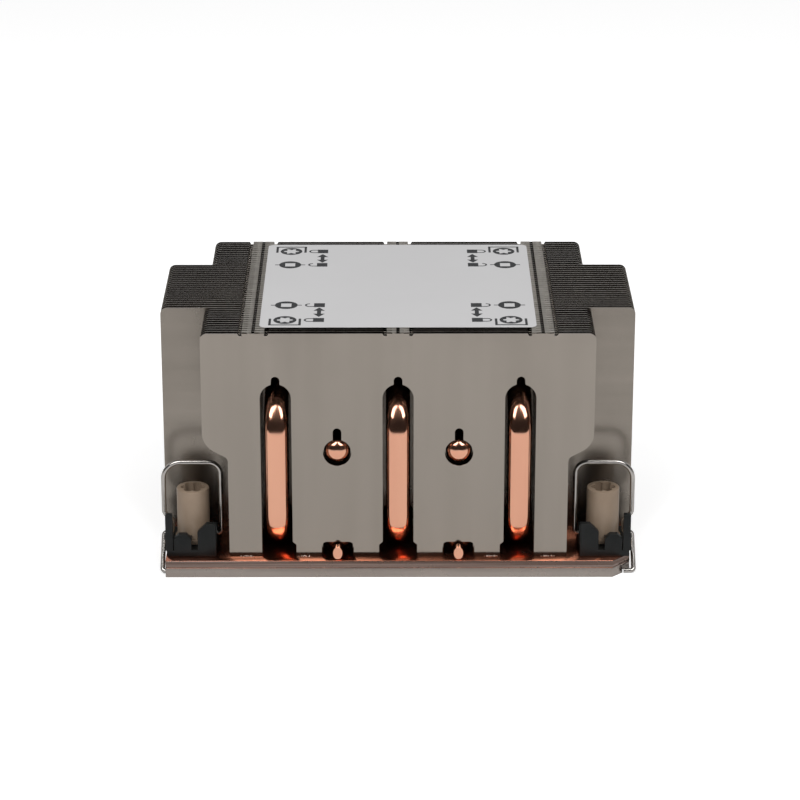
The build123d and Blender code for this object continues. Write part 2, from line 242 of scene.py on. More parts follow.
handling_group, handling_start, handling_end = new_group(
    "Handling", ["Patch Scale"], ["Patches", "Specks"]
)
handling_place = handling_group.nodes.new("ShaderNodeTexCoord")
patches = handling_group.nodes.new("ShaderNodeTexNoise")
patches.inputs["Detail"].default_value = 4
patches.inputs["Roughness"].default_value = 0.6
handling_group.links.new(handling_place.outputs["Object"], patches.inputs["Vector"])
handling_group.links.new(handling_start.outputs[0], patches.inputs["Scale"])
handling_group.links.new(patches.outputs["Fac"], handling_end.inputs["Patches"])
specks = noise_on(handling_group, handling_place.outputs["Object"], scale=speck_scale, detail=2)
handling_group.links.new(specks, handling_end.inputs["Specks"])
print("shader groups:", [group.name for group in bpy.data.node_groups])


# %% Building a finish
noise_low, noise_high = 0.3, 0.7
grain_depth = 0.02 * MM
speck_strength, speck_depth = 0.15, 0.03 * MM


def add_group(material, group, **values):
    """Places a shared effect in a material with that material's own values."""
    node = material.node_tree.nodes.new("ShaderNodeGroup")
    node.node_tree = group
    for socket, value in values.items():
        node.inputs[socket.replace("_", " ")].default_value = value
    return node


def spread(material, value, low, high):
    """Turns a pattern between 0 and 1, mostly near the middle, into a range of values."""
    node = material.node_tree.nodes.new("ShaderNodeMapRange")
    node.inputs["From Min"].default_value = noise_low
    node.inputs["From Max"].default_value = noise_high
    node.inputs["To Min"].default_value = low
    node.inputs["To Max"].default_value = high
    material.node_tree.links.new(value, node.inputs["Value"])
    return node.outputs[0]


def tone(material, value, dark, light):
    """Mixes two near colours by a pattern."""
    node = material.node_tree.nodes.new("ShaderNodeMix")
    node.data_type = "RGBA"
    node.inputs["A"].default_value = (*dark, 1)
    node.inputs["B"].default_value = (*light, 1)
    material.node_tree.links.new(spread(material, value, 0, 1), node.inputs["Factor"])
    return node.outputs["Result"]


def relief(material, shader, value, strength, depth):
    """Fine height differences, shown by the way the surface takes the light."""
    bump = material.node_tree.nodes.new("ShaderNodeBump")
    bump.inputs["Strength"].default_value = strength
    bump.inputs["Distance"].default_value = depth
    material.node_tree.links.new(value, bump.inputs["Height"])
    material.node_tree.links.new(bump.outputs[0], shader.inputs["Normal"])


def metal(name, dark, light, smooth, rough, grain, patch_scale, lift=0.1):
    """A bare metal: two near tones, streaks along its grain and patches of handling."""
    material, shader = new_material(name)
    links = material.node_tree.links
    streaks = add_group(material, grain_group, Along_X=grain[0], Along_Y=grain[1], Along_Z=grain[2])
    marks = add_group(material, handling_group, Patch_Scale=patch_scale)
    shader.inputs["Metallic"].default_value = 1
    links.new(tone(material, streaks.outputs["Streak"], dark, light), shader.inputs["Base Color"])
    links.new(spread(material, marks.outputs["Patches"], smooth, rough), shader.inputs["Roughness"])
    relief(material, shader, streaks.outputs["Height"], lift, grain_depth)
    return material


# %% [markdown]
# The fins are thin aluminium sheet with a dull warm plating. The narrow ones show faint
# upright bands, and the wide ones behind them are brushed across. The wide ones get a darker
# tone of the same metal, which is painted shade for where they stand back behind the nuts. The
# heat pipes are bare copper, smooth from drawing. The base is a plated plate under a copper
# one that has darkened, with worn sides, and a line of dark copper where the two are joined.
# One plain colour for each would do from far away. Here each metal has two near tones and an
# uneven polish, because close up that is what tells metal from paint.

# %% Metals of the fins
fin_sheet = metal(
    "fin_sheet", dark=(0.31, 0.276, 0.24), light=(0.345, 0.308, 0.27),
    smooth=0.1, rough=0.19, grain=(130, 60, 9), patch_scale=45, lift=0.01,
)
# The wide fins' tones are darker than the narrow fins': painted shade for where they stand back behind
# the nuts. Their brushing across is real.
shaded_wide_sheet = metal(
    "shaded_wide_sheet", dark=(0.275, 0.245, 0.212), light=(0.31, 0.276, 0.24),
    smooth=0.2, rough=0.3, grain=(14, 60, 260), patch_scale=45, lift=0.02,
)
tab_metal = metal(
    "tab_metal", dark=(0.31, 0.285, 0.25), light=(0.42, 0.39, 0.345),
    smooth=0.3, rough=0.45, grain=(500, 500, 500), patch_scale=200,
)

# %% Metals of the base and the pipes
plated_edge = metal(
    "plated_edge", dark=(0.30, 0.26, 0.235), light=(0.37, 0.33, 0.3),
    smooth=0.22, rough=0.36, grain=(20, 20, 500), patch_scale=80,
)
worn_edge = metal(
    "worn_edge", dark=(0.09, 0.053, 0.042), light=(0.29, 0.222, 0.195),
    smooth=0.2, rough=0.34, grain=(18, 18, 1900), patch_scale=70, lift=0.4,
)
base_copper = metal(
    "base_copper", dark=(0.6, 0.23, 0.14), light=(0.74, 0.3, 0.19),
    smooth=0.16, rough=0.28, grain=(30, 30, 30), patch_scale=70, lift=0.05,
)
joint_copper = metal(
    "joint_copper", dark=(0.2, 0.095, 0.065), light=(0.4, 0.2, 0.14),
    smooth=0.2, rough=0.34, grain=(60, 60, 60), patch_scale=200,
)
pipe_copper = metal(
    "pipe_copper", dark=(0.78, 0.39, 0.265), light=(0.84, 0.44, 0.3),
    smooth=0.1, rough=0.19, grain=(150, 20, 20), patch_scale=90, lift=0.04,
)

# %% Metals of the wires and the solder
wire_steel = metal(
    "wire_steel", dark=(0.38, 0.36, 0.34), light=(0.5, 0.475, 0.45),
    smooth=0.16, rough=0.27, grain=(300, 300, 300), patch_scale=300,
)
solder = metal(
    "solder", dark=(0.36, 0.27, 0.23), light=(0.5, 0.4, 0.35),
    smooth=0.2, rough=0.4, grain=(900, 900, 900), patch_scale=600, lift=0.3,
)

# %% [markdown]
# The nuts and their holders are moulded plastic, and the label is a satin film with dark
# ink. A moulded surface is slightly uneven, so light spreads over it in soft patches, and a
# fine texture keeps it from looking like glass. Film and ink take the same recipe with other
# numbers, which is simpler than one more shader.


# %% Plastics, label film and ink
def moulded(name, dark, light, smooth, rough, patch_scale, shine=0.5):
    """Moulded plastic with soft tone changes and a fine satin texture."""
    material, shader = new_material(name)
    links = material.node_tree.links
    marks = add_group(material, handling_group, Patch_Scale=patch_scale)
    shader.inputs["Specular IOR Level"].default_value = shine
    links.new(tone(material, marks.outputs["Patches"], dark, light), shader.inputs["Base Color"])
    links.new(spread(material, marks.outputs["Patches"], smooth, rough), shader.inputs["Roughness"])
    relief(material, shader, marks.outputs["Specks"], speck_strength, speck_depth)
    return material


nut_plastic = moulded(
    "nut_plastic", dark=(0.225, 0.165, 0.115), light=(0.275, 0.205, 0.148),
    smooth=0.34, rough=0.5, patch_scale=120,
)
holder_plastic = moulded(
    "holder_plastic", dark=(0.006, 0.007, 0.007), light=(0.012, 0.013, 0.013),
    smooth=0.3, rough=0.5, patch_scale=120, shine=0.22,
)
label_film = moulded(
    "label_film", dark=(0.52, 0.515, 0.52), light=(0.56, 0.555, 0.56),
    smooth=0.3, rough=0.42, patch_scale=25,
)
label_ink = moulded(
    "label_ink", dark=(0.014, 0.015, 0.017), light=(0.024, 0.025, 0.028),
    smooth=0.45, rough=0.6, patch_scale=200, shine=0.25,
)
print("finishes:", len(bpy.data.materials))

# %% [markdown]
# Small helpers for modelling by hand in code: pick an object, go into edit mode with
# nothing selected, choose points by their place, and finish a piece.


# %% Helpers for picking and choosing
nearby = 0.01 * MM
weld_distance = 0.002 * MM


def pick(*things):
    """Deselects everything, then selects these objects and makes the last one active."""
    bpy.ops.object.select_all(action="DESELECT")
    for thing in things:
        thing.select_set(True)
    bpy.context.view_layer.objects.active = things[-1]


def open_mesh(piece):
    """Goes into edit mode on one piece, with nothing selected."""
    pick(piece)
    bpy.ops.object.mode_set(mode="EDIT")
    bpy.ops.mesh.select_mode(type="VERT")
    bpy.ops.mesh.select_all(action="DESELECT")


def close_mesh():
    """Leaves edit mode."""
    bpy.ops.object.mode_set(mode="OBJECT")


def choose_points(piece, test):
    """Selects the points that pass a test on their place, and nothing else."""
    bpy.ops.mesh.select_mode(type="VERT")
    mesh = bmesh.from_edit_mesh(piece.data)
    for point in mesh.verts:
        point.select_set(test(point.co))
    mesh.select_flush_mode()
    bmesh.update_edit_mesh(piece.data)


def weld(piece):
    """Joins points that lie together and turns all faces outwards."""
    open_mesh(piece)
    bpy.ops.mesh.select_all(action="SELECT")
    bpy.ops.mesh.remove_doubles(threshold=weld_distance)
    bpy.ops.mesh.normals_make_consistent(inside=False)
    close_mesh()


# %% Helpers for whole pieces
def settle(piece):
    """Puts an object's place, turn and size into its mesh."""
    pick(piece)
    bpy.ops.object.transform_apply(location=True, rotation=True, scale=True)


def join(name, pieces):
    """Makes several pieces one, under one name."""
    pick(*pieces)
    bpy.ops.object.join()
    whole = bpy.context.object
    whole.name = name
    return whole


def curve_to_mesh(name, curve):
    """A piece with the mesh that a curve draws."""
    piece = bpy.data.objects.new(name, curve)
    bpy.context.scene.collection.objects.link(piece)
    pick(piece)
    bpy.ops.object.convert(target="MESH")
    return piece


def apply_all(piece):
    """Applies the piece's modifiers in order."""
    pick(piece)
    for modifier in list(piece.modifiers):
        bpy.ops.object.modifier_apply(modifier=modifier.name)


def smooth(piece, degrees=35):
    """Shades a piece smoothly, apart from edges that bend more than this."""
    pick(piece)
    bpy.ops.object.shade_smooth_by_angle(angle=radians(degrees))


def hand_over(piece, finish, body, slot, *nodes):
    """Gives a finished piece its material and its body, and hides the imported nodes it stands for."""
    piece.data.materials.clear()
    piece.data.materials.append(finish)
    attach(piece, body)
    if nodes:
        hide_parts(*nodes)
    print(piece.name, "faces:", len(piece.data.polygons))


# %% [markdown]
# A stamped sheet is a flat outline with openings. They could be cut out of a box one after
# another, but Blender also fills a flat curve between its outer loop and the loops inside
# it, which gives clean edges in one go. So the outline is drawn as a curve, made a mesh, and
# stood upright. Round stretches are worked out by a formula.


# %% Outlines with arcs and rounded corners
def arc(centre_x, centre_z, radius, first, last, steps=14):
    """Points along an arc, from one angle to another, in degrees."""
    turns = [radians(first + (last - first) * step / steps) for step in range(steps + 1)]
    return [(centre_x + radius * cos(turn), centre_z + radius * sin(turn)) for turn in turns]


def rounded_corner(corner, before, after, radius, steps):
    """The points that round a corner between the two corners beside it."""
    if radius == 0:
        return [corner]
    back, on = (before - corner).normalized(), (after - corner).normalized()
    half = back.angle(on) / 2
    centre = corner + (back + on).normalized() * radius / sin(half)
    first = corner + back * radius / tan(half) - centre
    last = corner + on * radius / tan(half) - centre
    return [centre + first.slerp(last, step / steps) * radius for step in range(steps + 1)]


def rounded_outline(corners, steps=8):
    """A closed outline from corners (x, z, radius), each rounded by its own radius."""
    places = [Vector((x, z)) for x, z, radius in corners]
    points = []
    for index, corner in enumerate(places):
        after = places[(index + 1) % len(places)]
        points += rounded_corner(corner, places[index - 1], after, corners[index][2], steps)
    return [tuple(point) for point in points]


def stamp(name, outline, openings, thickness, upright=True):
    """A flat sheet with openings. Upright, it stands with its middle on the plane y = 0."""
    curve = bpy.data.curves.new(name, "CURVE")
    curve.dimensions = "2D"
    curve.fill_mode = "BOTH"
    curve.extrude = thickness / 2
    for loop in [outline, *openings]:
        spline = curve.splines.new("POLY")
        spline.points.add(len(loop) - 1)
        for point, (x, z) in zip(spline.points, loop):
            point.co = (x, z, 0, 1)
        spline.use_cyclic_u = True
    piece = curve_to_mesh(name, curve)
    if upright:
        piece.rotation_euler = (pi / 2, 0, 0)
    settle(piece)
    weld(piece)
    return piece


# %% [markdown]
# The stack has three kinds of fin. The two end fins show best: tall round-headed slots for
# the pipes that bend there, small notched holes and low arches for the closed ends of the
# others. The fins behind them have the same openings, a little tighter round the pipes, so
# a second edge shows inside each one. The wide fins in the middle have plain openings.

# %% Sizes of the fins
end_low, end_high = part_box("front_end_fin")
narrow_low, narrow_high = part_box("front_fins")
wide_low, wide_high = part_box("middle_fins")

fin_thickness = end_high.y - end_low.y
narrow_count = 11
wide_count = 22
fin_pitch = (narrow_high.y - narrow_low.y - fin_thickness) / (narrow_count - 1)
fin_foot = end_low.z
fin_top = end_high.z
half_foot = 42.2 * MM
foot_top = 31.0 * MM
shoulder_top = 34.4 * MM
top_corner = 1.7 * MM
shoulder_radius = 5.5 * MM
foot_corner = 1.5 * MM

pipe_radius = 3.0 * MM
pipe_spacing = 30.2 * MM
front_places = [-pipe_spacing, 0, pipe_spacing]
rear_places = [-pipe_spacing / 2, pipe_spacing / 2]
front_pipe_top = 44.3 * MM
rear_pipe_top = 32.5 * MM
slot_rise = 2.5 * MM

notch_half = 1.08 * MM
end_slot_half, end_hole_radius, end_arch_half = 3.85 * MM, 3.5 * MM, 4.0 * MM
inner_slot_half, inner_hole_radius, inner_arch_half = 3.85 * MM, 3.3 * MM, 3.75 * MM
slot_notch_rise, hole_notch_rise = 1.95 * MM, 3.0 * MM
slot_foot_step, slot_foot_height, slot_foot_cut = 0.9 * MM, 4.0 * MM, 0.8 * MM
arch_height, arch_corner = 4.0 * MM, 1.3 * MM

tab_half = 1.175 * MM
pair_spacing, strip_spacing = 35.45 * MM, 3.15 * MM
pair_places = [-pair_spacing, 0, pair_spacing]
tab_notch = 0.7 * MM
tab_notch_depth = 0.65 * MM
print("pitch", round(fin_pitch / MM, 2), "mm, thickness", round(fin_thickness / MM, 2), "mm")


# %% Openings of a fin
def notched_head(place, height, radius, rise):
    """The round head of an opening, from its left side to its right, with a notch on top."""
    lean = 90 - asin(notch_half / radius) * 180 / pi
    tip = height + radius + rise - notch_half
    return (
        arc(place, height, radius, 180, 180 - lean)
        + arc(place, tip, notch_half, 180, 0, steps=8)
        + arc(place, height, radius, lean, 0)
    )


def slot_inlet(place, half, head_height):
    """A tall slot that is open at the fin's foot and widens there towards the middle."""
    left, right = place - half, place + half
    outer_left = left - (slot_foot_step if place >= 0 else 0)
    outer_right = right + (slot_foot_step if place <= 0 else 0)
    shoulder = fin_foot + slot_foot_height
    cut = shoulder - slot_foot_cut
    up = [(outer_left, fin_foot), (outer_left, cut), (left, shoulder)]
    down = [(right, shoulder), (outer_right, cut), (outer_right, fin_foot)]
    return up + notched_head(place, head_height, half, slot_notch_rise) + down


def arch_inlet(place, half, height):
    """A low arch at the fin's foot, with rounded shoulders."""
    left, right = place - half, place + half
    spring = fin_foot + height - arch_corner
    return (
        [(left, fin_foot)]
        + arc(left + arch_corner, spring, arch_corner, 180, 90, steps=6)
        + arc(right - arch_corner, spring, arch_corner, 90, 0, steps=6)
        + [(right, fin_foot)]
    )


def notched_hole(place, height, radius):
    """A round hole with a notch on top, as one closed loop."""
    lower_half = arc(place, height, radius, 0, -180, steps=28)
    return notched_head(place, height, radius, hole_notch_rise) + lower_half[1:-1]


# %% Outline of a fin
def tab_notches():
    """Small cuts beside each pair of folded tabs, along the top edge from right to left."""
    points = []
    reach, lean = strip_spacing / 2 + tab_half, tab_notch / 2
    floor = fin_top - tab_notch_depth
    for place in reversed(pair_places):
        for left, slant in ((place + reach, 1), (place - reach - tab_notch, -1)):
            right = left + tab_notch
            points += [(right + max(slant, 0) * lean, fin_top), (right, floor)]
            points += [(left, floor), (left + min(slant, 0) * lean, fin_top)]
    return points


def fin_outline(inlets, half_width, narrow):
    """The outline of one fin, from its left foot round to the left side again."""
    if narrow:
        right_side = [
            (half_foot, fin_foot, 0),
            (half_foot, foot_top, foot_corner),
            (half_width, shoulder_top, shoulder_radius),
            (half_width, fin_top, top_corner),
        ]
    else:
        right_side = [(half_width, fin_foot, 0), (half_width, fin_top, top_corner)]
    ring = right_side + [(-x, z, radius) for x, z, radius in reversed(right_side)]
    rounded = rounded_outline(ring)
    middle = len(rounded) // 2
    right, left = rounded[:middle], rounded[middle:]
    foot = [point for inlet in inlets for point in inlet]
    return foot + right + tab_notches() + left


# %% Narrow fins at both ends
def repeat(piece, count, step):
    """A row of copies along Y, in one piece."""
    row = piece.modifiers.new("row", "ARRAY")
    row.count = count
    row.use_relative_offset = False
    row.use_constant_offset = True
    row.constant_offset_displace = (0, step, 0)
    apply_all(piece)


def make_fins(name, bend_places, bend_top, closed_places, closed_top, sizes, first_face, count, node):
    """One kind of fin, stamped once and repeated at the pitch."""
    slot_half, hole_radius, arch_half = sizes
    slot_head = bend_top + slot_rise
    inlets = {place: slot_inlet(place, slot_half, slot_head) for place in bend_places}
    inlets.update({place: arch_inlet(place, arch_half, arch_height) for place in closed_places})
    holes = [notched_hole(place, closed_top, hole_radius) for place in closed_places]
    outline = fin_outline([inlets[place] for place in sorted(inlets)], end_high.x, narrow=True)
    fins = stamp(name, outline, holes, fin_thickness)
    fins.location.y = first_face + fin_thickness / 2
    settle(fins)
    repeat(fins, count, fin_pitch)
    hand_over(fins, fin_sheet, "heatsink", "fin_sheet", node)


end_sizes = (end_slot_half, end_hole_radius, end_arch_half)
inner_sizes = (inner_slot_half, inner_hole_radius, inner_arch_half)
front_kind = (front_places, front_pipe_top, rear_places, rear_pipe_top)
rear_kind = (rear_places, rear_pipe_top, front_places, front_pipe_top)
rear_face, last_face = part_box("rear_fins")[0].y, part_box("rear_end_fin")[0].y
make_fins("end_fin_front", *front_kind, end_sizes, end_low.y, 1, "front_end_fin")
make_fins("narrow_fins_front", *front_kind, inner_sizes, narrow_low.y, narrow_count, "front_fins")
make_fins("narrow_fins_rear", *rear_kind, inner_sizes, rear_face, narrow_count, "rear_fins")
make_fins("end_fin_rear", *rear_kind, end_sizes, last_face, 1, "rear_end_fin")

# %% Wide fins in the middle
all_places = [(place, front_pipe_top) for place in front_places]
all_places += [(place, rear_pipe_top) for place in rear_places]
wide_inlets = [arch_inlet(place, inner_arch_half, 2 * pipe_radius) for place, top in sorted(all_places)]
wide_holes = [arc(place, top, inner_hole_radius, 0, 360, steps=32)[1:] for place, top in all_places]
wide_outline = fin_outline(wide_inlets, wide_high.x, narrow=False)
wide_fins = stamp("wide_fins", wide_outline, wide_holes, fin_thickness)
wide_fins.location.y = wide_low.y + fin_thickness / 2
settle(wide_fins)
repeat(wide_fins, wide_count, fin_pitch)
hand_over(wide_fins, shaded_wide_sheet, "heatsink", "fin_sheet", "middle_fins")

# %% [markdown]
# Each fin's top edge has six small tabs that fold back over the next fin and hook into it.
# End to end they make the pale strips along the top. One tab is a flat stamping whose outer
# half stops short of the tab in front, which draws the rungs of the ladder that shows there.
# Rungs that are only painted on a strip would look flat, because real gaps are dark. Six
# tabs side by side are joined and repeated at the pitch, once less than there are fins,
# because the last fin has none behind it to hook into.

# %% Folded tabs
strip_low, strip_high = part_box("fin_tabs")
rung_gap, seam_gap = 0.42 * MM, 0.06 * MM
tab_edge = 0.05 * MM
rung_share = 0.55
tab_height = strip_high.z - strip_low.z
middle_of_tabs = (strip_low.z + strip_high.z) / 2


def make_tab(place, outward):
    """One folded tab: its outer half leaves a gap to the next one, its inner half none."""
    outer, inner = place + outward * tab_half, place - outward * tab_half
    step = outer + (inner - outer) * rung_share
    back = strip_low.y + fin_pitch
    outline = [
        (outer, strip_low.y + rung_gap),
        (step, strip_low.y + rung_gap),
        (step, strip_low.y + seam_gap),
        (inner, strip_low.y + seam_gap),
        (inner, back),
        (outer, back),
    ]
    tab = stamp("tab", outline, [], tab_height, upright=False)
    tab.location.z = middle_of_tabs
    settle(tab)
    return tab


fold_count = 2 * (narrow_count + 1) + wide_count - 1
tabs = []
for pair in pair_places:
    for side in (-1, 1):
        outward = pair / abs(pair) if pair else side
        tabs.append(make_tab(pair + side * strip_spacing / 2, outward))
tab_strips = join("tab_strips", tabs)
fold = tab_strips.modifiers.new("fold", "BEVEL")
fold.width = tab_edge
fold.segments = 2
repeat(tab_strips, fold_count, fin_pitch)
smooth(tab_strips)
hand_over(tab_strips, tab_metal, "heatsink", "tab_strips", "fin_tabs")

# %% [markdown]
# The two base plates and the plastic holders already have the right shape in the packed
# model, but all their edges are knife sharp. To draw them again would only repeat that shape,
# so each gets a copy whose triangles are joined again into flat faces, and a fine bevel that
# catches the light as a real edge does. The frame keeps notes of its own on each packed
# piece, and the copy leaves them behind.

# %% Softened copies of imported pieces
flat_angle, sharp_angle = 1, 28
plated_edge_width, copper_edge_width, clip_edge_width = 0.18 * MM, 0.15 * MM, 0.22 * MM


def soften(node, name, width, finish, slot, segments=2):
    """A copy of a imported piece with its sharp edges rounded."""
    piece = frame["nodes"][node].copy()
    piece.data = piece.data.copy()
    piece.name = name
    for note in list(piece.keys()):
        del piece[note]
    piece.parent = None
    bpy.context.scene.collection.objects.link(piece)
    weld(piece)
    open_mesh(piece)
    bpy.ops.mesh.select_all(action="SELECT")
    bpy.ops.mesh.dissolve_limited(angle_limit=radians(flat_angle))
    close_mesh()
    edge = piece.modifiers.new("edge", "BEVEL")
    edge.width = width
    edge.segments = segments
    edge.limit_method = "ANGLE"
    edge.angle_limit = radians(sharp_angle)
    apply_all(piece)
    smooth(piece)
    hand_over(piece, finish, "heatsink", slot, node)
    return piece


# %% [markdown]
# The sides of the copper plate are worn, and dark copper shows along the joint of the two
# plates. Both are finishes on a part of a piece, and a second material on some of its faces
# gives that without cutting the piece up. The copper plate takes it on every face that isn't
# level, and the lower plate on its top bevel.

# %% Base plates
joint_low, joint_high, joint_depth = 0.2, 0.99, 0.2 * MM
level_limit = 0.9
lower_plate = soften("base_plate", "lower_base_plate", plated_edge_width, plated_edge, "plated_base")
lower_plate.data.materials.append(joint_copper)
joint_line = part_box("base_plate")[1].z - joint_depth
for face in lower_plate.data.polygons:
    seam = face.center.z > joint_line and joint_low < face.normal.z < joint_high
    face.material_index = 1 if seam else 0
upper_plate = soften("copper_base", "upper_base_plate", copper_edge_width, base_copper, "bare_copper")
upper_plate.data.materials.append(worn_edge)
for face in upper_plate.data.polygons:
    face.material_index = 0 if abs(face.normal.z) > level_limit else 1

# %% Nut holders
corners = {"front_left": (-1, -1), "front_right": (1, -1), "rear_left": (-1, 1), "rear_right": (1, 1)}
for corner in corners:
    node, name = f"{corner}_nut_holder", f"{corner}_clip"
    soften(node, name, clip_edge_width, holder_plastic, "holder_plastic", segments=3)

# %% [markdown]
# A heat pipe is a tube that is bent twice and closed at both ends. It is drawn as it is
# made: a ring of points at the lower end is carried along the base, spun round the bend,
# carried up, spun again and carried back through the fins. The upper end is domed, and the
# lower one is drawn in to a small pinched tip, where the pipe was sealed. A curve with a
# round section would be quicker, but it can't close its ends like that. The upright run
# looks pressed a little flatter, so its points are moved by a formula at the end.

# %% Sizes of the pipes
pipe_setback = 0.4 * MM
pipe_seat_gap = 0.05 * MM
pipe_run = -end_low.y - pipe_setback - pipe_radius
lower_leg = fin_foot + pipe_seat_gap + pipe_radius
bend_radius = 8.0 * MM
run_flatness = 3.4
pipe_points = 48
bend_steps = 14
dome_length = 1.9 * MM
dome_steps = 8
cap_share = 0.5
taper_length = 3.4 * MM
taper_steps = 8
tip_half_width, tip_half_height = 1.35 * MM, 1.8 * MM
tip_round = 0.7 * MM
tip_rings = [(0.6, 0.86, 0.92), (0.4, 0.45, 0.8)]
lower_end = -end_high.y
tip_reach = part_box("right_front_pipe")[1].y
print("bend radius", round(bend_radius / MM, 1), "mm, run at", round(pipe_run / MM, 1), "mm")


# %% Closing the ends of a pipe
def carry(step, size=(1, 1, 1), centre=(0, 0, 0)):
    """Extrudes the selected ring by a step, then scales the new ring about a centre."""
    bpy.ops.mesh.extrude_region_move(TRANSFORM_OT_translate={"value": step})
    if size != (1, 1, 1):
        bpy.ops.transform.resize(value=size, center_override=centre)


def draw_dome(x, height, back):
    """Rounds off the upper end, ring by ring, and closes it."""
    start = (-end_low.y - dome_length) * back
    size, place = 1.0, start
    for step in range(1, dome_steps):
        turn = pi / 2 * step / dome_steps
        next_size = cos(turn)
        next_place = start + back * dome_length * sin(turn)
        shrink = next_size / size
        carry((0, next_place - place, 0), (shrink, 1, shrink), (x, next_place, height))
        size, place = next_size, next_place
    carry((0, 0, 0), (cap_share, 1, cap_share), (x, place, height))
    bpy.ops.mesh.merge(type="CENTER")


def draw_tip(x, back):
    """Draws the lower end in to its pinched tip and closes it."""
    half_width, half_height = pipe_radius, pipe_radius
    place = back * (lower_end - taper_length)
    height = lower_leg
    tip_height = fin_foot + pipe_seat_gap + tip_half_height
    for step in range(1, taper_steps + 1):
        share = 0.5 - 0.5 * cos(pi * step / taper_steps)
        new_width = pipe_radius + (tip_half_width - pipe_radius) * share
        new_height = pipe_radius + (tip_half_height - pipe_radius) * share
        next_place = back * (lower_end - taper_length * (1 - step / taper_steps))
        next_centre = lower_leg + (tip_height - lower_leg) * share
        move = (0, next_place - place, next_centre - height)
        carry(move, (new_width / half_width, 1, new_height / half_height), (x, next_place, next_centre))
        half_width, half_height, place, height = new_width, new_height, next_place, next_centre
    carry((0, back * (tip_reach - tip_round) - place, 0))
    for forward, narrower, lower in tip_rings:
        carry((0, back * tip_round * forward, 0), (narrower, 1, lower), (x, 0, tip_height))
    bpy.ops.mesh.merge(type="CENTER")


# %% Drawing a pipe
def press_flat(pipe, x, bend, top, back):
    """Presses the upright run a little flatter, fading out along both bends."""
    lower, upper = lower_leg + bend_radius, top - bend_radius
    for point in pipe.data.vertices:
        away = (point.co.y - bend) * back
        if away <= 0:
            continue
        rise = point.co.z - min(max(point.co.z, lower), upper)
        reach = hypot(away, rise)
        power = 2 + (run_flatness - 2) * (away / reach) ** 2
        across, out = (point.co.x - x) / pipe_radius, (reach - bend_radius) / pipe_radius
        across = copysign(abs(across) ** (2 / power), across)
        out = copysign(abs(out) ** (2 / power), out)
        new_reach = bend_radius + out * pipe_radius
        centre_height = point.co.z - rise
        point.co.x = x + across * pipe_radius
        point.co.y = bend + back * away * new_reach / reach
        point.co.z = centre_height + rise * new_reach / reach


def make_pipe(name, x, top, back):
    """One heat pipe; back is 1 where it bends at the back and -1 where it bends in front."""
    start = -back * (lower_end - taper_length)
    bend = back * (pipe_run - bend_radius)
    bpy.ops.mesh.primitive_circle_add(
        vertices=pipe_points, radius=pipe_radius, location=(x, start, lower_leg), rotation=(pi / 2, 0, 0)
    )
    pipe = bpy.context.object
    pipe.name = name
    settle(pipe)
    open_mesh(pipe)
    bpy.ops.mesh.select_all(action="SELECT")
    carry((0, bend - start, 0))
    turn = {"steps": bend_steps, "angle": -back * pi / 2, "axis": (1, 0, 0)}
    bpy.ops.mesh.spin(center=(x, bend, lower_leg + bend_radius), **turn)
    carry((0, 0, top - lower_leg - 2 * bend_radius))
    bpy.ops.mesh.spin(center=(x, bend, top - bend_radius), **turn)
    carry((0, -back * (-end_low.y - dome_length) - bend, 0))
    draw_dome(x, top, -back)
    first_ring_top = lower_leg + 1.5 * pipe_radius
    choose_points(pipe, lambda point: abs(point.y - start) < nearby and point.z < first_ring_top)
    draw_tip(x, -back)
    close_mesh()
    press_flat(pipe, x, bend, top, back)
    weld(pipe)
    smooth(pipe, degrees=50)
    return pipe


# %% The five pipes
for name, x in zip(["left", "centre", "right"], front_places):
    pipe = make_pipe(f"{name}_pipe_front", x, front_pipe_top, -1)
    hand_over(pipe, pipe_copper, "heatsink", "pipe_copper", f"{name}_front_pipe")
for name, x in zip(["left", "right"], rear_places):
    pipe = make_pipe(f"{name}_pipe_rear", x, rear_pipe_top, 1)
    hand_over(pipe, pipe_copper, "heatsink", "pipe_copper", f"{name}_rear_pipe")

# %% [markdown]
# A captive nut is one plastic moulding: a neck that passes through the base, a flange that
# the holder keeps down, a round body, and on top the six-lobe socket for the screwdriver.
# Spinning a profile would do for the outside, but the socket needs a ring of points that
# can be moved. So one ring is carried down, out, up and in again, and at the socket's mouth
# it is pulled into six lobes by a formula. One nut is drawn and mirrored to the other
# corners, and the wires are made the same way.

# %% Sizes of a nut
nut_low, nut_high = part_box("front_right_nut")
nut_x = (nut_low.x + nut_high.x) / 2
nut_y = (nut_low.y + nut_high.y) / 2
flange_radius = (nut_high.x - nut_low.x) / 2
body_radius, neck_radius, bore_radius = 4.1 * MM, 3.4 * MM, 2.0 * MM
bore_depth = 11.4 * MM
flange_bottom, flange_top = 6.2 * MM, 7.2 * MM
rim_round, rim_share = 0.3 * MM, 0.3
lobe_count, lobe_breadth = 6, 0.7
lobe_radius, waist_radius = 3.1 * MM, 2.25 * MM
mouth_share = 0.75
socket_depth = 4.5 * MM
nut_points = 96
print("nut", round((nut_high.z - nut_low.z) / MM, 1), "mm high")


# %% Drawing a nut
def shape_lobes(piece, height):
    """Pulls the ring at the socket's mouth into six broad lobes with narrow ribs between."""
    mesh = bmesh.from_edit_mesh(piece.data)
    for point in mesh.verts:
        if point.select:
            turn = atan2(point.co.y - nut_y, point.co.x - nut_x)
            bulge = abs(cos(lobe_count / 2 * turn)) ** lobe_breadth
            radius = waist_radius + (lobe_radius - waist_radius) * bulge
            point.co = (nut_x + radius * cos(turn), nut_y + radius * sin(turn), height)
    bmesh.update_edit_mesh(piece.data)


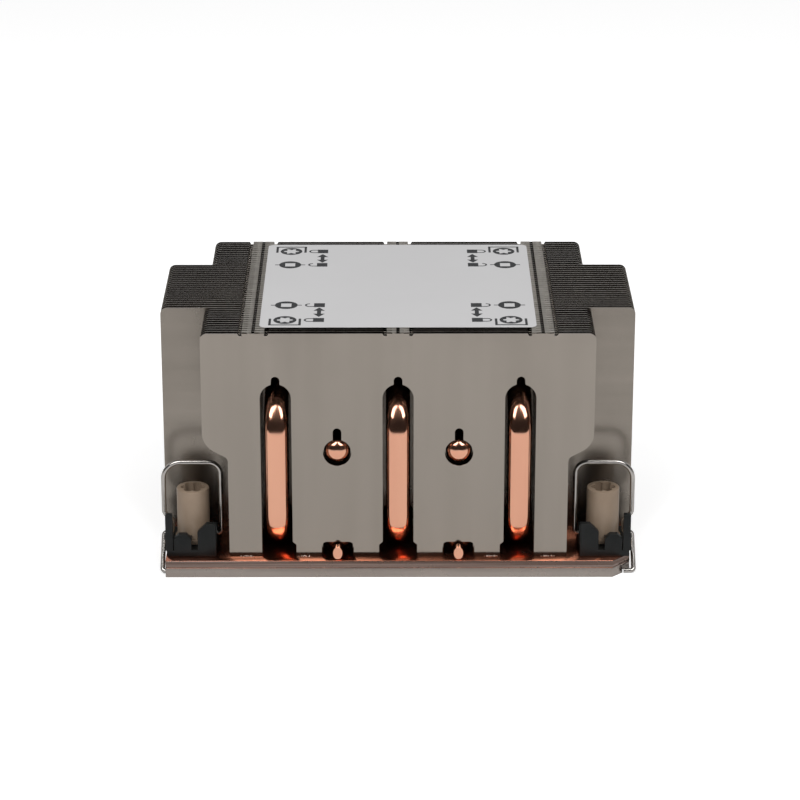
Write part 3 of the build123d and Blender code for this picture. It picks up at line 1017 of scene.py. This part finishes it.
def make_nut(name):
    """One captive nut at the front right corner."""
    bore_top = nut_low.z + bore_depth
    bpy.ops.mesh.primitive_circle_add(
        vertices=nut_points, radius=bore_radius, location=(nut_x, nut_y, bore_top)
    )
    nut = bpy.context.object
    nut.name = name
    settle(nut)
    open_mesh(nut)
    bpy.ops.mesh.select_all(action="SELECT")
    radius, height = bore_radius, bore_top
    profile = [
        (bore_radius, nut_low.z),
        (neck_radius, nut_low.z),
        (neck_radius, flange_bottom),
        (flange_radius, flange_bottom),
        (flange_radius, flange_top),
        (body_radius, flange_top),
        (body_radius, nut_high.z - rim_round),
        (body_radius - rim_round * rim_share, nut_high.z - rim_round * rim_share),
        (body_radius - rim_round, nut_high.z),
    ]
    for next_radius, next_height in profile:
        size = next_radius / radius
        carry((0, 0, next_height - height), (size, size, 1), (nut_x, nut_y, next_height))
        radius, height = next_radius, next_height
    carry((0, 0, 0), (mouth_share, mouth_share, 1), (nut_x, nut_y, height))
    shape_lobes(nut, nut_high.z)
    carry((0, 0, -socket_depth))
    bpy.ops.mesh.edge_face_add()
    choose_points(nut, lambda point: abs(point.z - bore_top) < nearby)
    bpy.ops.mesh.edge_face_add()
    close_mesh()
    weld(nut)
    smooth(nut)
    return nut


# %% One piece for each corner
def to_corner(piece, side, end):
    """A copy of a front right piece, mirrored to another corner, with its own mesh."""
    copy = piece.copy()
    copy.data = piece.data.copy()
    bpy.context.scene.collection.objects.link(copy)
    copy.scale = (side, -end, 1)
    settle(copy)
    inside_out = side * -end < 0
    if inside_out:
        weld(copy)
    return copy


def at_every_corner(piece, ending, finish, slot, node_ending):
    """Four pieces from one, each riding on its own body."""
    for corner, (side, end) in corners.items():
        copy = to_corner(piece, side, end)
        copy.name = f"{corner}_{ending}"
        hand_over(copy, finish, f"{corner}_{node_ending}", slot, f"{corner}_{node_ending}")
    bpy.data.objects.remove(piece)


at_every_corner(make_nut("nut"), "captive_nut", nut_plastic, "nut_plastic", "nut")

# %% [markdown]
# Each wire is one length of spring wire, bent on one tool. Its pin turns in the inner eye
# of the holder. The bow stands over the nut, and the other leg turns through the outer eye
# and runs down beside the base to the hook. Carrying a ring along would need a new turn for
# each bend in space, but a curve finds its own way. So the path is a list of corners, each
# rounded by its own radius, and the curve sweeps a round section along it.

# %% Sizes of a wire
wire_low, wire_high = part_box("front_right_wire")
wire_radius = 0.6 * MM
hinge = next(joint for joint in frame["joints"] if joint["name"] == "front_right_wire_swing")["pos_m"]
wire_steps = 10
print("wire", round(2 * wire_radius / MM, 1), "mm thick, hinge", round(hinge[2] / MM, 1), "mm up")


# %% Sweeping a wire
def rounded_path(corners_on_path):
    """Points of a path in space whose inner corners are rounded, each by its own radius."""
    places = [Vector(place) for place, radius in corners_on_path]
    points = [places[0]]
    for index in range(1, len(places) - 1):
        radius = corners_on_path[index][1]
        points += rounded_corner(places[index], places[index - 1], places[index + 1], radius, wire_steps)
    return points + [places[-1]]


def sweep_wire(name, points, radius):
    """A round wire along a path, closed at both ends."""
    curve = bpy.data.curves.new(name, "CURVE")
    curve.dimensions = "3D"
    curve.bevel_depth = radius
    curve.bevel_resolution = 6
    curve.use_fill_caps = True
    spline = curve.splines.new("POLY")
    spline.points.add(len(points) - 1)
    for point, place in zip(spline.points, points):
        point.co = (*place, 1)
    piece = curve_to_mesh(name, curve)
    weld(piece)
    smooth(piece, degrees=50)
    return piece


# %% Bending the wires
inner_leg = wire_low.x + wire_radius
outer_leg = 58.95 * MM
bow_top = wire_high.z - wire_radius
hook_y = wire_low.y + wire_radius
hook_z = wire_low.z + wire_radius
hinge_y, hinge_z = hinge[1], hinge[2]
pin_end = 46.8 * MM
jog_inner, arm_plane = 57.0 * MM, wire_high.x - wire_radius
jog_end, jog_start = 5.4 * MM, 3.45 * MM
bow_inner_radius, bow_outer_radius = 3.0 * MM, 4.4 * MM
pin_radius, jog_outer_radius, jog_inner_radius, arm_radius = 0.9 * MM, 1.5 * MM, 1.0 * MM, 0.8 * MM
hook_end = 56.7 * MM
wire_corners = [
    ((pin_end, hinge_y, hinge_z), 0),
    ((inner_leg, hinge_y, hinge_z), pin_radius),
    ((inner_leg, hinge_y, bow_top), bow_inner_radius),
    ((outer_leg, hinge_y, bow_top), bow_outer_radius),
    ((outer_leg, hinge_y, hinge_z + jog_end), jog_outer_radius),
    ((jog_inner, hinge_y, hinge_z + jog_start), jog_inner_radius),
    ((jog_inner, hinge_y, hinge_z), arm_radius),
    ((arm_plane, hinge_y, hinge_z), arm_radius),
    ((arm_plane, hook_y, hook_z), arm_radius),
    ((hook_end, hook_y, hook_z), 0),
]
wire = sweep_wire("wire", rounded_path(wire_corners), wire_radius)
at_every_corner(wire, "wire_bail", wire_steel, "spring_wire", "wire")

# %% [markdown]
# The label is a printed film with rounded corners. Its marks are plain signs: a nut seen
# from above with its wire swung out or standing over it, a closed and an open padlock, and
# an arrow between them. A picture of them would blur close up, so each mark is a flat shape
# of ink just above the film, stamped as the fins are.

# %% Label film
label_low, label_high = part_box("top_label")
label_corner = 1.6 * MM
film_corners = [
    (label_low.x, label_low.y, label_corner),
    (label_high.x, label_low.y, label_corner),
    (label_high.x, label_high.y, label_corner),
    (label_low.x, label_high.y, label_corner),
]
film = stamp("label_film", rounded_outline(film_corners), [], label_high.z - label_low.z, upright=False)
film.location.z = (label_low.z + label_high.z) / 2
settle(film)
hand_over(film, label_film, "heatsink", "label_paper", "top_label")

# %% Sizes of the marks
ink_thickness = 0.012 * MM
mark_x, lock_x = 27.9 * MM, 19.6 * MM
swung_y, upright_y, arrow_y = 27.0 * MM, 15.9 * MM, 21.2 * MM
ring_radius, ring_lobe, ring_waist = 2.85 * MM, 2.05 * MM, 1.25 * MM
line_width = 0.45 * MM
bracket_half, bracket_depth, bracket_line = 4.0 * MM, 4.6 * MM, 0.6 * MM
bracket_overlap = 0.35
line_half, bow_half = 3.9 * MM, 1.3 * MM
lock_half_width, lock_half_height = 1.45 * MM, 1.35 * MM
shackle_length, shackle_half = 2.3 * MM, 1.25 * MM
arrow_half, arrow_head, arrow_head_half, arrow_shaft = 3.5 * MM, 2.4 * MM, 1.45 * MM, 0.5 * MM
lobe_points = 60
print("marks at", round(mark_x / MM, 1), "and", round(lock_x / MM, 1), "mm from the middle")


# %% Shapes of the marks
def lobed_loop(x, y):
    """The outline of a six-lobe socket seen from above."""
    middle, swing = (ring_lobe + ring_waist) / 2, (ring_lobe - ring_waist) / 2
    points = []
    for step in range(lobe_points):
        turn = 2 * pi * step / lobe_points
        reach = middle + swing * cos(lobe_count * turn)
        points.append((x + reach * cos(turn), y + reach * sin(turn)))
    return points


def bar(x, y, half_width, half_height):
    """A rectangle about its middle."""
    return [
        (x - half_width, y - half_height),
        (x + half_width, y - half_height),
        (x + half_width, y + half_height),
        (x - half_width, y + half_height),
    ]


def half_ring(x, y, out, radius):
    """Half a circle round a point, from below to above, bulging to one side."""
    return [(x + out * (px - x), py) for px, py in arc(x, y, radius, -90, 90, steps=12)]


def shackle(x, y, out, closed):
    """The bent bow of a padlock that lies on its side, with one leg short when open."""
    reach = shackle_length - shackle_half
    inner = shackle_half - line_width
    short = 0 if closed else reach
    outer_bow = [(x, y - shackle_half)] + half_ring(x + out * reach, y, out, shackle_half)
    inner_bow = half_ring(x + out * reach, y, out, inner)[::-1] + [(x, y - inner)]
    return outer_bow + [(x + out * short, y + shackle_half), (x + out * short, y + inner)] + inner_bow


def double_arrow(x, y):
    """An arrow with a head at each end, pointing up and down."""
    neck = arrow_half - arrow_head
    right = [(x, y + arrow_half), (x + arrow_head_half, y + neck), (x + arrow_shaft, y + neck)]
    right += [(px, 2 * y - py) for px, py in reversed(right)]
    left = [(2 * x - px, py) for px, py in reversed(right)][1:-1]
    return right + left


# %% Marks of one corner
def marks_at(side, end):
    """All the signs of one corner of the label, as loops for one flat shape."""
    x, lock = side * mark_x, side * lock_x
    swung, upright, between = end * swung_y, end * upright_y, end * arrow_y
    shapes = []
    for y, hole in ((swung, lobed_loop(x, swung)), (upright, bar(x, upright, bow_half, bow_half))):
        shapes.append([arc(x, y, ring_radius, 0, 360, steps=40)[1:], hole])
    outer = swung + end * (bracket_depth - ring_radius * bracket_overlap)
    shapes.append([bar(x, outer, bracket_half, bracket_line / 2)])
    for leg in (-1, 1):
        leg_x = x + leg * (bracket_half - bracket_line / 2)
        shapes.append([bar(leg_x, outer - end * bracket_depth / 2, bracket_line / 2, bracket_depth / 2)])
        line_x = x + leg * (ring_radius + line_half) / 2
        shapes.append([bar(line_x, upright, (line_half - ring_radius) / 2, line_width / 2)])
    for y, closed in ((swung, True), (upright, False)):
        shapes.append([bar(lock, y, lock_half_height, lock_half_width)])
        shapes.append([shackle(lock + side * lock_half_height, y, side, closed)])
    shapes.append([double_arrow(lock, between)])
    return shapes


# %% Marks on the label
signs = []
for corner, (side, end) in corners.items():
    for outline, *holes in marks_at(side, end):
        sign = stamp(f"{corner}_sign", outline, holes, ink_thickness, upright=False)
        sign.location.z = label_high.z + ink_thickness / 2
        settle(sign)
        signs.append(sign)
hand_over(join("label_signs", signs), label_ink, "heatsink", "label_paper")

# %% [markdown]
# Where the front fin meets the base, a little solder has run out and set as small shiny
# beads. They are too small to shape by hand, so each is a ball that is flattened a little,
# and all are then pushed out of round by a clouds pattern.

# %% Solder beads
solder_places = [-38.0 * MM, -23.5 * MM, 22.9 * MM, 37.2 * MM]
bead_radius, bead_lift = 0.3 * MM, 0.05 * MM
bead_shape = (1.25, 0.9, 0.95)
bead_row = [(-1.3, 0.55), (-0.6, 0.9), (0.0, 1.15), (0.55, 0.7), (1.25, 0.95), (1.8, 0.5)]
lump_spacing, lump_height, lump_level = 0.4 * MM, 0.5 * MM, 0.6
clouds = bpy.data.textures.new("solder_clouds", "CLOUDS")
clouds.noise_scale = lump_spacing
beads = []
for place in solder_places:
    for shift, size in bead_row:
        x = place + shift * MM
        bpy.ops.mesh.primitive_ico_sphere_add(
            subdivisions=3, radius=bead_radius * size, location=(x, end_low.y, fin_foot + bead_lift)
        )
        bead = bpy.context.object
        bead.scale = bead_shape
        settle(bead)
        beads.append(bead)
solder_beads = join("solder_beads", beads)
lumps = solder_beads.modifiers.new("lumps", "DISPLACE")
lumps.texture = clouds
lumps.texture_coords = "LOCAL"
lumps.strength = lump_height
lumps.mid_level = lump_level
apply_all(solder_beads)
smooth(solder_beads, degrees=60)
hand_over(solder_beads, solder, "heatsink", "bare_copper")

# %% Plain view
bpy.context.scene.view_settings.view_transform = "Standard"
